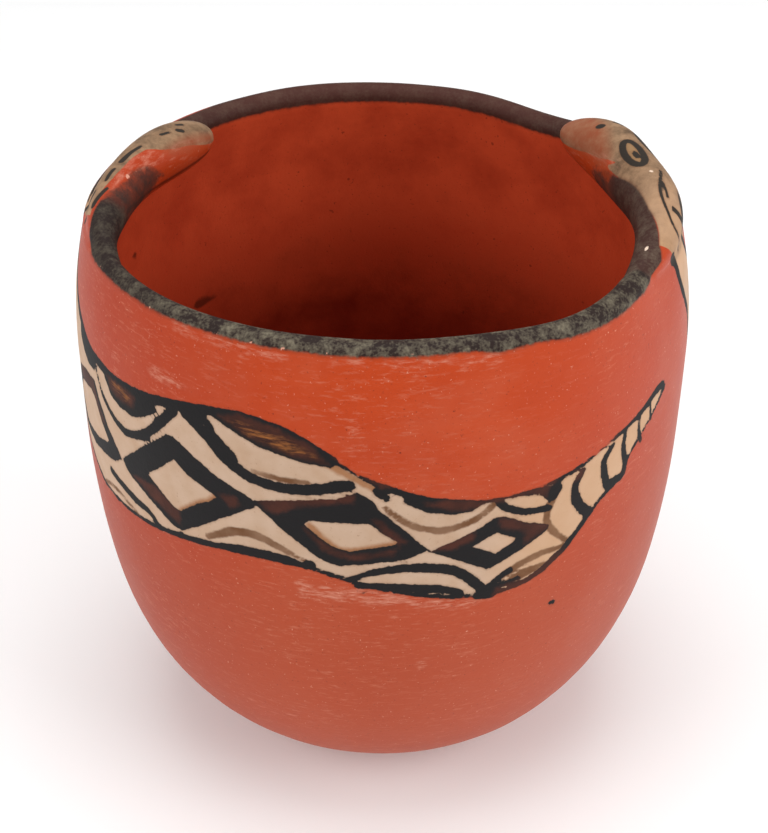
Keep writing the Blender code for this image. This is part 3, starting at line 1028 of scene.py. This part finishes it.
# %% Fit the drawings to points on the jar
FRONT_SNAKE_BEGINS = 165.0
FRONT_SNAKE_ENDS = 333.4
SECOND_SNAKE_TURN = 163.0
WALL_SCALE = (MM_PER_DEGREE, 1.0)
HEAD_SCALE = (HEAD_MM_ALONG, HEAD_MM_PER_DEGREE)
PAINTS = ("cream", "black", "brown", "thin", "glaze", "tan", "band", "fade", "wash", "rub", "chip", "smudge")


def paint_heads(paint, direction, points):
    """Lays the heads' drawings over the paint, and gives the share of head at each point."""
    head_share = np.zeros(len(points))
    for draw, form, sizes in (
        (draw_right_head, RIGHT_FORM, RIGHT_HEAD),
        (draw_left_head, LEFT_FORM, LEFT_HEAD),
    ):
        within, along, around, far = on_head(form, sizes, direction, points)
        picked = np.nonzero(within)[0]
        head = Drawing(along[picked], around[picked], HEAD_SCALE)
        draw(head)
        weight = blend(HEAD_REACH, HEAD_FADES, far[picked])
        head_share[picked] = np.maximum(head_share[picked], weight)
        for name, distance in head.paint.items():
            field = paint[name]
            mixed = field[picked] * (1 - weight) + distance * weight
            field[picked] = mixed if name in ("cream", "band") else np.maximum(field[picked], mixed)
    return head_share


def paint_at(points):
    """Distances in mm for each paint, the share of head and the share of inner face, at points."""
    direction, height, radius, outside = on_wall(points)
    front = (direction > FRONT_SNAKE_BEGINS) & (direction < FRONT_SNAKE_ENDS)
    turned = np.where(front, direction, (direction - SECOND_SNAKE_TURN) % 360)
    wall = Drawing(turned, np.where(outside, height / MM + PAINTING_LOWERED, 0), WALL_SCALE)
    outer_marks = Drawing(direction, np.where(outside, height / MM, 0), WALL_SCALE)
    inner_marks = Drawing(direction, np.where(outside, 0, height / MM), WALL_SCALE)
    draw_snake(wall)
    wear(outer_marks, inner_marks)
    paint = {name: np.full(len(points), FAR_OUTSIDE) for name in PAINTS}
    for drawing in (wall, outer_marks, inner_marks):
        for name, distance in drawing.paint.items():
            paint[name] = np.maximum(paint[name], distance)
    paint["band"] = rim_band(direction, height, radius, outside)
    head_share = paint_heads(paint, direction, points)
    return {**paint, "head": head_share, "inside": np.where(outside | (head_share > 0.5), 0.0, 1.0)}


print("The second snake is the first one turned by", SECOND_SNAKE_TURN, "degrees")

# %% Give the mesh its paint
coords = np.empty(len(made.vertices) * 3, np.float32)
made.vertices.foreach_get("co", coords)
fields = paint_at(coords.reshape(-1, 3).astype(float))
for name, values in fields.items():
    made.attributes.new(name, "FLOAT", "POINT").data.foreach_set("value", values.astype(np.float32))
print("Points under each paint:", {name: int((fields[name] > 0).sum()) for name in PAINTS})

# %% [markdown]
# ## Slip, paint and wear
# One material holds the whole surface, because it is one piece of clay. Its layers lie over each
# other in the order in which the potter laid them: red slip, cream slip, brown and black paint,
# and last the wear of many years. A layer ends where its distance passes zero. Fine noise moves
# that edge to and fro, so that it looks brushed and stays sharp on a coarse mesh.
# Some layers also hold painted shade, a painted shadow and a painted highlight.

# %% Helpers for the paint
clay.use_nodes = True
paint_tree = clay.node_tree
shader = paint_tree.nodes["Principled BSDF"]
spot = Wire.node(paint_tree, "ShaderNodeTexCoord").out("Object")
axes = Wire.node(paint_tree, "ShaderNodeSeparateXYZ", None, {0: spot})
# Millimetres to the right of the jar's middle, behind it, and above the table
right, back, up = (axes.out(axis) / MM for axis in "XYZ")


def linear(red, green, blue):
    """A screen colour, 0 to 255, as the light values that shaders use."""
    parts = [value / 255 for value in (red, green, blue)]
    return tuple(v / 12.92 if v <= 0.04045 else ((v + 0.055) / 1.055) ** 2.4 for v in parts)


def noise(scale, detail=3.0, rough=0.55, stretch=None, shift=0.0):
    """Even noise between about 0 and 1. The scale is in bumps per metre."""
    place = spot
    if stretch or shift:
        away = (shift, shift * 0.7, shift * 0.3)
        moves = {"Vector": spot, "Scale": stretch or (1, 1, 1), "Location": away}
        place = Wire.node(paint_tree, "ShaderNodeMapping", None, moves)
    values = {"Vector": place, "Scale": scale, "Detail": detail, "Roughness": rough}
    return Wire.node(paint_tree, "ShaderNodeTexNoise", None, values)


def given_by(name):
    return Wire.node(paint_tree, "ShaderNodeAttribute", {"attribute_name": name}).out("Fac")


def layered(colour, *layers):
    """A colour with others laid over it in turn, each by its share from 0 to 1."""
    for over, share in layers:
        values = {0: share}
        # The node's sockets 6 and 7 hold the lower and the upper colour
        for key, value in ((6, colour), (7, over)):
            values[key] = value if isinstance(value, Wire) else (*linear(*value), 1)
        colour = Wire.node(paint_tree, "ShaderNodeMix", {"data_type": "RGBA"}, values, out=2)
    return colour


head = given_by("head")
inside = given_by("inside")
outer = 1 - inside
ragged = ((noise(900, 2.0) - 0.5) * 0.6 + (noise(260, 2.0, shift=3.1) - 0.5) * 0.7) * (1 - 0.65 * head)


def edge(name, soft=0.12, shift=0.0, wobble=1.0):
    """1 where this paint lies, with a brushed edge. Softness and shift are in mm."""
    return (given_by(name) + ragged * wobble + shift).step(-soft, soft)


print("Before the first layer:", len(paint_tree.nodes), "nodes")

# %% Red slip
clouds = noise(28, 4.0)
burnish = noise(150, 4.0, 0.6, stretch=(0.25, 0.25, 3.0))
specks = noise(1600, 1.0)
light_specks = (specks - 0.7).clipped()
dark_specks = (0.32 - specks).clipped()
deep_clouds = (clouds * 1.1 + burnish * 0.5 - 0.45).clipped()
pale_clouds = (noise(55, 4.0, 0.6, shift=2.9) * 2.4 - 1.1).clipped()
low_on_wall = (up + (clouds - 0.5) * 40).step(122, 60)
# Painted shade: the red turns darker towards the left and right sides, more on the left
painted_side_shade = right.step(-15, -70) * 0.55 + right.step(20, 75) * 0.35
outer_red = layered(
    (194, 69, 24),
    ((164, 48, 16), deep_clouds * 0.7),
    ((196, 96, 66), pale_clouds * 0.5),
    ((172, 76, 46), low_on_wall * 0.7),
    # painted shade towards both sides
    ((154, 50, 24), painted_side_shade),
)
# Cloudy darker patches on the inner wall; the same noise makes the edge of the painted shade uneven
inner_clouds = noise(70, 4.0, 0.6, shift=1.3)
# Painted shade: the inner wall turns dark deep down in the jar
painted_depth_shade = (up + (inner_clouds - 0.5) * 50).step(112, 58)
pits = (noise(340, 2.0, shift=5.7) - 0.71).step(0.0, 0.06)
inner_red = layered(
    (224, 88, 51),
    ((174, 54, 29), (inner_clouds * 2.2 - 0.85).clipped() * 0.8),
    # painted shade deep inside
    ((122, 33, 16), painted_depth_shade),
    ((84, 26, 14), pits * 0.5),
    # the same painted shade towards both sides, inside
    ((150, 44, 24), painted_side_shade * 0.7),
)
scratches = noise(520, 3.0, 0.7, stretch=(0.5, 0.5, 2.4), shift=8.0)
dusty = (noise(40, 3.0, shift=3.7) * 3 - 1.3).clipped()
red = layered(
    outer_red,
    (inner_red, inside),
    ((214, 138, 112), (scratches - 0.54).clipped() * (0.6 + 3 * dusty) * outer),
    ((226, 176, 152), light_specks * 4 * outer),
    ((96, 32, 20), dark_specks * 4),
)
print("Red slip:", len(paint_tree.nodes), "nodes so far")

# %% Cream slip and the snake's head
stains = (noise(160, 3.0, shift=1.7) * 1.6 - 0.5).clipped()
mottle = (noise(200, 5.0, 0.7, shift=4.0) * 2.8 - 1.05).clipped()
# The tails lie front right and back left, where these two have opposite signs
tail_share = (right * back).step(-1400, -2400)
neck_share = up.step(122, 140)
crown = layered((132, 104, 77), ((76, 58, 43), mottle))
crown_share = head * (0.7 + 0.3 * mottle) * (0.5 + 0.5 * back.step(-20, 2))
cream = layered(
    (202, 172, 148),
    ((186, 150, 120), stains),
    ((150, 112, 84), dark_specks * 3),
    ((206, 158, 116), tail_share * 0.5 + neck_share * 0.6),
    (crown, crown_share),
)
# Breaks up the pale rubbed places and the painted highlight under the rim
wear_and_highlight_share = (0.1 + 1.9 * (scratches - 0.47)).clipped() * (1 - 0.3 * head)
surface = layered(
    red,
    (cream, edge("cream", 0.14)),
    ((156, 78, 48), edge("wash", 2.2) * (0.5 + 0.4 * mottle)),
    # pale rubbed places, and the painted highlight under the rim
    ((220, 158, 134), edge("rub", 0.8, wobble=2.0) * wear_and_highlight_share),
    # dark smudges inside the jar, and the painted shadow under the left head
    ((52, 22, 14), edge("smudge", 0.6) * 0.7),
)

# %% Brown and black paint
thin_colour = layered((52, 28, 22), ((86, 44, 32), (noise(170, 3.0, shift=2.0) * 2 - 0.5).clipped()))
amber_share = (noise(520, 3.0, 0.6, stretch=(0.4, 0.4, 2.2), shift=7.0) * 3.6 - 1.6).clipped()
black = layered(
    (27, 25, 26),
    ((56, 48, 40), head * 0.7),
    (thin_colour, edge("thin", 0.8, wobble=2.0) * 0.9),
    ((160, 98, 48), edge("glaze", 0.7, wobble=2.0) * amber_share),
)
tan = layered((158, 104, 62), ((150, 116, 80), head))
brown_rim = edge("black", 0.3, shift=0.28) * 0.5 * noise(110, 2.0, shift=6.0)
surface = layered(
    surface,
    ((112, 74, 46), edge("brown", 0.32) * (1.05 - stains * 0.5).clipped()),
    (tan, edge("tan", 0.6) * 0.85),
    ((96, 48, 26), brown_rim),
    (black, edge("black")),
)
print("With the snakes:", len(paint_tree.nodes), "nodes")

# %% The dark rim, and its wear
facing = back.step(20, -50) * right.step(-75, -30)
worn = (noise(290, 4.0, 0.66, shift=5.0) * 3.0 + specks * 1.2 - 1.85).clipped()
faded = edge("fade", 3.0)
rim = layered(
    (32, 29, 27),
    ((128, 121, 102), worn * (0.2 + 0.6 * facing) * (1 - 0.8 * faded)),
    ((96, 52, 42), back.step(20, 60) * 0.4),
    ((78, 50, 42), (head * 0.5 * right.step(0, 40) + faded * 0.5).clipped()),
)
uneven = ragged + (noise(130, 4.0, 0.7, shift=6.6) - 0.5) * 18 * faded
band = ((given_by("band") + uneven) / (0.35 + 1.4 * faded)).step(-1.0, 1.0)
near_edge = 1 - given_by("band").math("ABSOLUTE").step(0.1, 0.7)
chipped = (noise(560, 2.0, shift=9.0) - 0.68).step(0.0, 0.03) * near_edge * outer
bare_clay = layered((214, 150, 128), ((232, 206, 184), right.step(-40, 20)))
surface = layered(
    surface,
    ((92, 46, 30), edge("band", 0.6, shift=0.4, wobble=1.4) * 0.45),
    (rim, band * (0.97 - faded * mottle * 0.55)),
    ((214, 154, 130), chipped * (1 - head)),
    (bare_clay, edge("chip", 0.15, wobble=0.5)),
)
paint_tree.links.new(surface.socket, shader.inputs["Base Color"])
print("With the rim:", len(paint_tree.nodes), "nodes")

# %% Shine and grain
shader.inputs["Specular IOR Level"].default_value = 0.14
painted = edge("black").math("MAXIMUM", edge("cream")).math("MAXIMUM", band)
rough = 0.4 + 0.14 * clouds + painted * 0.14
paint_tree.links.new(rough.socket, shader.inputs["Roughness"])
polish = (1 - painted) * outer * (0.05 + 0.07 * right.step(-20, 40))
paint_tree.links.new(polish.socket, shader.inputs["Coat Weight"])
shader.inputs["Coat Roughness"].default_value = 0.32
grain = specks * 0.45 + burnish * 0.4 + noise(350, 3.0, shift=2.2) * 0.6 * (1 + band)
bump_values = {"Strength": 0.35, "Distance": 0.25 * MM, "Height": grain}
bump = Wire.node(paint_tree, "ShaderNodeBump", None, bump_values)
paint_tree.links.new(bump.socket, shader.inputs["Normal"])
print("The clay's material has", len(paint_tree.nodes), "nodes")

# %% [markdown]
# ## The jar joins the frame
# The finished jar takes the place of the plain one in the frame. The frame has one body, root,
# because nothing on a jar moves. The slot painted_clay is the material with slip, paint and wear.

# %% The jar joins the frame
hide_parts("clay_jar")
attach(jar, "root")
print(jar.name, "replaces clay_jar")

# %% [markdown]
# ## Floor, camera and lights
# The jar stands on a plain pale floor, which glows a little so that the ground stays white. The
# camera looks down into the mouth from in front. One large lamp above and one on each side give
# soft light, stronger on the right, with only faint shadows.

# %% Floor
bpy.ops.mesh.primitive_plane_add(size=6)
floor = bpy.context.object
floor.name = "floor"
sheet = bpy.data.materials.new("pale_paper")
sheet.use_nodes = True
paper = sheet.node_tree.nodes["Principled BSDF"]
paper.inputs["Base Color"].default_value = (0.9, 0.9, 0.9, 1)
paper.inputs["Emission Color"].default_value = (1, 1, 1, 1)
paper.inputs["Emission Strength"].default_value = 0.12
floor.data.materials.append(sheet)
print("The floor is", round(floor.dimensions.x), "m wide")

# %% Camera
IMAGE_LONG_SIDE = 833
FOCAL_PIXELS = 1617.8
CAMERA_FAR = 420 * MM
CAMERA_LOOKS_DOWN = 33.73
LOOKS_AT = Vector((0.52 * MM, 0, 79.9 * MM))
camera_data = bpy.data.cameras.new("camera")
camera = bpy.data.objects.new("camera", camera_data)
scene.collection.objects.link(camera)
camera_data.sensor_width = 36
camera_data.lens = FOCAL_PIXELS / IMAGE_LONG_SIDE * camera_data.sensor_width
down = math.radians(CAMERA_LOOKS_DOWN)
camera.location = LOOKS_AT + CAMERA_FAR * Vector((0, -math.cos(down), math.sin(down)))
camera.rotation_euler = (math.pi / 2 - down, 0, 0)
camera_data.clip_start = 0.01
scene.camera = camera
print("The lens has", round(camera_data.lens, 1), "mm on a sensor of", camera_data.sensor_width, "mm")

# %% Lights
scene.view_settings.view_transform = "Standard"
scene.view_settings.look = "None"
world = bpy.data.worlds.new("room")
scene.world = world
world.use_nodes = True
sky = world.node_tree.nodes["Background"]
sky.inputs["Color"].default_value = (1, 1, 1, 1)
sky.inputs["Strength"].default_value = 0.45
LAMP_SIZE = 1.0


def lamp(name, place, watts):
    """A square soft lamp that faces the jar."""
    data = bpy.data.lights.new(name, "AREA")
    data.size = LAMP_SIZE
    data.energy = watts
    obj = bpy.data.objects.new(name, data)
    obj.location = place
    obj.rotation_euler = (LOOKS_AT - Vector(place)).to_track_quat("-Z", "Y").to_euler()
    scene.collection.objects.link(obj)


lamp("soft lamp above", (0, 0.1, 1.4), 9.5)
lamp("soft lamp on the left", (-1.2, -0.5, 0.8), 7.5)
lamp("soft lamp on the right", (1.2, -0.5, 0.8), 10)
